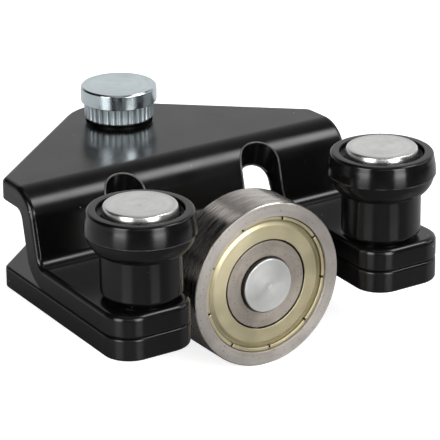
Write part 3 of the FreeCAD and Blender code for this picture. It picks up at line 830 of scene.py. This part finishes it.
# Guide rollers: black plastic, moulded in two halves that meet in a parting line on the flange.
# Each turns on its pin, with a boss under the barrel and a counterbore round the pin's head.
roller_bore = 4.56 * mm
boss_radius = 5.8 * mm
boss_height = 0.5 * mm
boss_round = 0.2 * mm
barrel_radius = 7.08 * mm
barrel_height = 7.6 * mm
barrel_edge = 0.8 * mm
flange_lower_height = 3.65 * mm
flange_taper = 0.5 * mm
flange_bulge = 0.37 * mm
flange_edge = 0.55 * mm
flange_rim = 2.11 * mm
flare_reach, flare_level = 0.7, 0.4
parting_step, parting_round = 0.3 * mm, 0.06 * mm
counterbore_depth, counterbore_round = 1.8 * mm, 0.15 * mm
plastic_black = (0.0035, 0.0035, 0.0035, 1)
plastic_scuff = (0.03, 0.03, 0.03, 1)
plastic_roughness = (0.14, 0.22)
plastic_ior = 1.4
skin_strength, skin_depth = 0.08, 0.05 * mm
flash_grey = (0.08, 0.08, 0.077, 1)
flash_width = 0.07 * mm
flash_from, flash_full = 0.4, 0.62
flash_wave = 0.2 * mm

black_plastic, tree, shader, spot = finish_of("black_plastic")
dust = placed(tree, specks, Vector=spot, Scale=500.0, Size=0.06, Share=0.2)
dusty = blended(tree, dust["Mask"], plastic_black, plastic_scuff)
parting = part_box("guide_roller_left")[0].z + boss_height + barrel_height + flange_lower_height
torn = noise(tree, spot, scale=500.0, detail=3.0)
off = maths(tree, "SUBTRACT", parts_of(tree, spot)["Z"], parting + flash_width)
off = maths(tree, "ADD", off, product(tree, maths(tree, "SUBTRACT", torn, 0.5), flash_wave))
on_edge = maths(tree, "LESS_THAN", maths(tree, "ABSOLUTE", off), flash_width)
flash = product(tree, on_edge, ramp(tree, torn, flash_from, flash_full))
skin = noise(tree, spot, scale=1400.0, detail=2.0)
fill(tree, shader, {
    "Base Color": blended(tree, flash, dusty, flash_grey),
    "Roughness": patchy(tree, spot, *plastic_roughness, scale=240.0),
    "Normal": bump(tree, skin, skin_strength, skin_depth), "IOR": plastic_ior})
for side in ("left", "right"):
    roller_low, roller_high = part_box(f"guide_roller_{side}")
    roller_x, roller_y = (roller_low.x + roller_high.x) / 2, (roller_low.y + roller_high.y) / 2
    flange_radius = (roller_high.x - roller_low.x) / 2
    barrel_foot = roller_low.z + boss_height
    flange_foot = barrel_foot + barrel_height
    parting = flange_foot + flange_lower_height
    lower_radius = flange_radius - parting_step
    shoulder = flange_radius - flange_taper
    shoulder_level = roller_high.z - flange_edge
    counterbore = flange_radius - flange_rim
    counterbore_floor = roller_high.z - counterbore_depth
    flare_through = (barrel_radius + flare_reach * (lower_radius - barrel_radius),
                     flange_foot + flare_level * flange_lower_height)
    flare = bow((barrel_radius, flange_foot), flare_through, (lower_radius, parting))
    bulge = bow((flange_radius, parting), (shoulder + flange_bulge, (parting + shoulder_level) / 2),
                (shoulder, shoulder_level))
    roller_outline = [
        (roller_bore, roller_low.z), (boss_radius, roller_low.z, boss_round), (boss_radius, barrel_foot),
        (barrel_radius, barrel_foot, barrel_edge), (barrel_radius, flange_foot), *flare,
        (lower_radius, parting), (flange_radius, parting, parting_round), *bulge,
        (shoulder, roller_high.z, flange_edge), (counterbore, roller_high.z, counterbore_round),
        (counterbore, counterbore_floor), (roller_bore, counterbore_floor)]
    roller_mesh = turned(f"guide_roller_{side}_moulded", roller_outline, upright(roller_x, roller_y),
                         evenly(round_segments))
    even_normals(roller_mesh)
    guide_roller = finished(f"guide_roller_{side}_moulded", roller_mesh, black_plastic)
    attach(guide_roller, f"guide_wheel_{side}")
    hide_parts(f"guide_roller_{side}")

# Floor: a plain white sheet under the load wheel, with the object's shadow on it. The camera sees it
# white. Mirrored in the object, its colour is dimmed and it glows with painted light, bright behind and
# dark in front, with a painted shadow where the glow stops under the object.
floor_reach = 2.0
floor_white = (0.82, 0.82, 0.82, 1)
floor_dim = (0.16, 0.16, 0.16, 1)
floor_gloss = 0.15
floor_ior = 1.5
floor_glow_seen = 0.75
floor_glow_behind = 0.48
floor_glow_in_front = 0.0
bright_from, dim_from = -0.04, -0.12
shade_centre = (0.0, -0.018, 0.0)
shade_inner, shade_outer = 0.036, 0.1

white_floor, tree, shader, spot = finish_of("white_floor")
tree.nodes.remove(shader)
path = tree.nodes.new("ShaderNodeLightPath").outputs
mirrored = maths(tree, "ADD", path["Is Glossy Ray"], path["Is Transmission Ray"])
fading = ramp(tree, parts_of(tree, spot)["Y"], dim_from, bright_from, floor_glow_in_front,
              floor_glow_behind, "SMOOTHSTEP")
away = distance_from(tree, spot, (1, 1, 0), shade_centre)
clear = ramp(tree, away, shade_inner, shade_outer, ease="SMOOTHSTEP")
glow = maths(tree, "ADD", product(tree, path["Is Camera Ray"], floor_glow_seen),
             product(tree, mirrored, product(tree, fading, clear)))
matt = add(tree, "ShaderNodeBsdfDiffuse", {"Color": blended(tree, mirrored, floor_white, floor_dim)})
gloss = add(tree, "ShaderNodeBsdfGlossy", {"Roughness": floor_gloss})
sheen = product(tree, add(tree, "ShaderNodeFresnel", {"IOR": floor_ior}).outputs[0], mirrored)
sheet_top = add(tree, "ShaderNodeMixShader", {0: sheen, 1: matt.outputs[0], 2: gloss.outputs[0]})
shine = add(tree, "ShaderNodeEmission", {"Strength": glow})
both = add(tree, "ShaderNodeAddShader", {0: sheet_top.outputs[0], 1: shine.outputs[0]})
tree.links.new(both.outputs[0], tree.nodes["Material Output"].inputs["Surface"])
floor_mesh = bpy.data.meshes.new("floor")
floor_corners = [(x * floor_reach, y * floor_reach, wheel_low.z)
                 for x, y in ((-1, -1), (1, -1), (1, 1), (-1, 1))]
floor_mesh.from_pydata(floor_corners, [], [(0, 1, 2, 3)])
floor = finished("floor", floor_mesh, white_floor)

# Studio light: a white backdrop behind, a dark ceiling with a pale patch overhead, and soft boxes:
# overhead, left and in front, with weaker ones beside the camera, on the right and over the backdrop.
backdrop_level, backdrop_from, backdrop_full = 0.97, -0.1, 0.3
front_level = 0.03
ceiling_left, ceiling_right = 0.02, 0.18
ceiling_left_end, ceiling_right_start = 0.1, 0.5
ceiling_slant, ceiling_from, ceiling_full = 0.5, 0.08, 0.62
zenith_level, zenith_from, zenith_full = 0.6, 0.88, 0.97
ambient_level = 0.2
seen_level = 1.0
box_distance = 0.9

studio = bpy.data.worlds.new("studio")
bpy.context.scene.world = studio
studio.use_nodes = True
tree = studio.node_tree
tree.nodes.clear()
towards = parts_of(tree, tree.nodes.new("ShaderNodeTexCoord").outputs["Generated"])
behind = ramp(tree, towards["Y"], backdrop_from, backdrop_full, front_level, backdrop_level, "SMOOTHSTEP")
slant = maths(tree, "SUBTRACT", towards["Z"], product(tree, towards["X"], ceiling_slant))
overhead = ramp(tree, slant, ceiling_from, ceiling_full)
ceiling = ramp(tree, towards["X"], ceiling_left_end, ceiling_right_start, ceiling_left, ceiling_right,
               "SMOOTHSTEP")
zenith = ramp(tree, towards["Z"], zenith_from, zenith_full, high=zenith_level, ease="SMOOTHSTEP")
level = between(tree, overhead, behind, maths(tree, "ADD", ceiling, zenith))
path = tree.nodes.new("ShaderNodeLightPath").outputs
mirrored = maths(tree, "ADD", path["Is Glossy Ray"], path["Is Transmission Ray"])
unseen = between(tree, maths(tree, "MINIMUM", mirrored, 1.0), ambient_level, level)
strength = between(tree, path["Is Camera Ray"], unseen, seen_level)
light = add(tree, "ShaderNodeBackground", {"Strength": strength})
surround = tree.nodes.new("ShaderNodeOutputWorld")
tree.links.new(light.outputs[0], surround.inputs["Surface"])


def softbox(name, towards, width, height, radiance, soft):
    """Lamp of a given radiance that faces the part from a direction and fades over a share of its edges."""
    lamp = bpy.data.lights.new(name, "AREA")
    lamp.shape = "RECTANGLE"
    lamp.size = width
    lamp.size_y = height
    lamp.energy = radiance * math.pi * width * height
    lamp.use_nodes = True
    tree = lamp.node_tree
    spot = parts_of(tree, tree.nodes.new("ShaderNodeNewGeometry").outputs["Parametric"])
    fades = []
    for axis in ("X", "Y"):
        off = maths(tree, "ABSOLUTE", maths(tree, "SUBTRACT", spot[axis], 0.5))
        fades.append(ramp(tree, off, 0.5, 0.5 - soft, ease="SMOOTHSTEP"))
    tree.links.new(product(tree, *fades), tree.nodes["Emission"].inputs["Strength"])
    made = bpy.data.objects.new(name, lamp)
    bpy.context.scene.collection.objects.link(made)
    heading = Vector(towards).normalized()
    facing = heading.to_track_quat("Z", "Y").to_matrix().to_4x4()
    made.matrix_world = Matrix.Translation(heading * box_distance) @ facing
    made.visible_camera = False


softbox("overhead_box", (0.51, -0.38, 0.77), width=0.54, height=0.5, radiance=8.5, soft=0.4)
softbox("left_box", (-0.945, -0.326, 0.29), width=0.46, height=0.7, radiance=6.5, soft=0.15)
softbox("front_box", (0.07, -0.998, 0.29), width=0.42, height=0.7, radiance=8.0, soft=0.15)
softbox("camera_fill", (-0.47, -0.88, 0.42), width=0.5, height=0.5, radiance=0.9, soft=0.2)
softbox("right_fill", (0.92, -0.39, 0.39), width=0.7, height=0.5, radiance=1.4, soft=0.2)
softbox("backdrop_strip", (0.06, 0.78, 0.62), width=0.3, height=0.3, radiance=0.75, soft=0.4)

# Camera: a long lens from the left and above, placed as the photograph was taken.
# Its place, turn and length come from a fit to points of the object.
view_azimuth = math.radians(-33.1)
view_elevation = math.radians(21.45)
view_roll = math.radians(-0.43)
view_from = Vector((-0.2430, -0.4068, 0.17615))
lens_length = 220.65
sensor_width = 36.0
nearest_seen = 0.01

back = Vector((math.sin(view_azimuth) * math.cos(view_elevation),
               -math.cos(view_azimuth) * math.cos(view_elevation), math.sin(view_elevation)))
right = Vector((math.cos(view_azimuth), math.sin(view_azimuth), 0))
up = back.cross(right)
right_rolled = right * math.cos(view_roll) + up * math.sin(view_roll)
up_rolled = up * math.cos(view_roll) - right * math.sin(view_roll)
lens = bpy.data.cameras.new("camera")
lens.lens = lens_length
lens.sensor_width = sensor_width
lens.clip_start = nearest_seen
camera = bpy.data.objects.new("camera", lens)
bpy.context.scene.collection.objects.link(camera)
view_turn = Matrix((right_rolled, up_rolled, back)).transposed().to_4x4()
camera.matrix_world = Matrix.Translation(view_from) @ view_turn
bpy.context.scene.camera = camera
bpy.context.scene.view_settings.view_transform = "Standard"
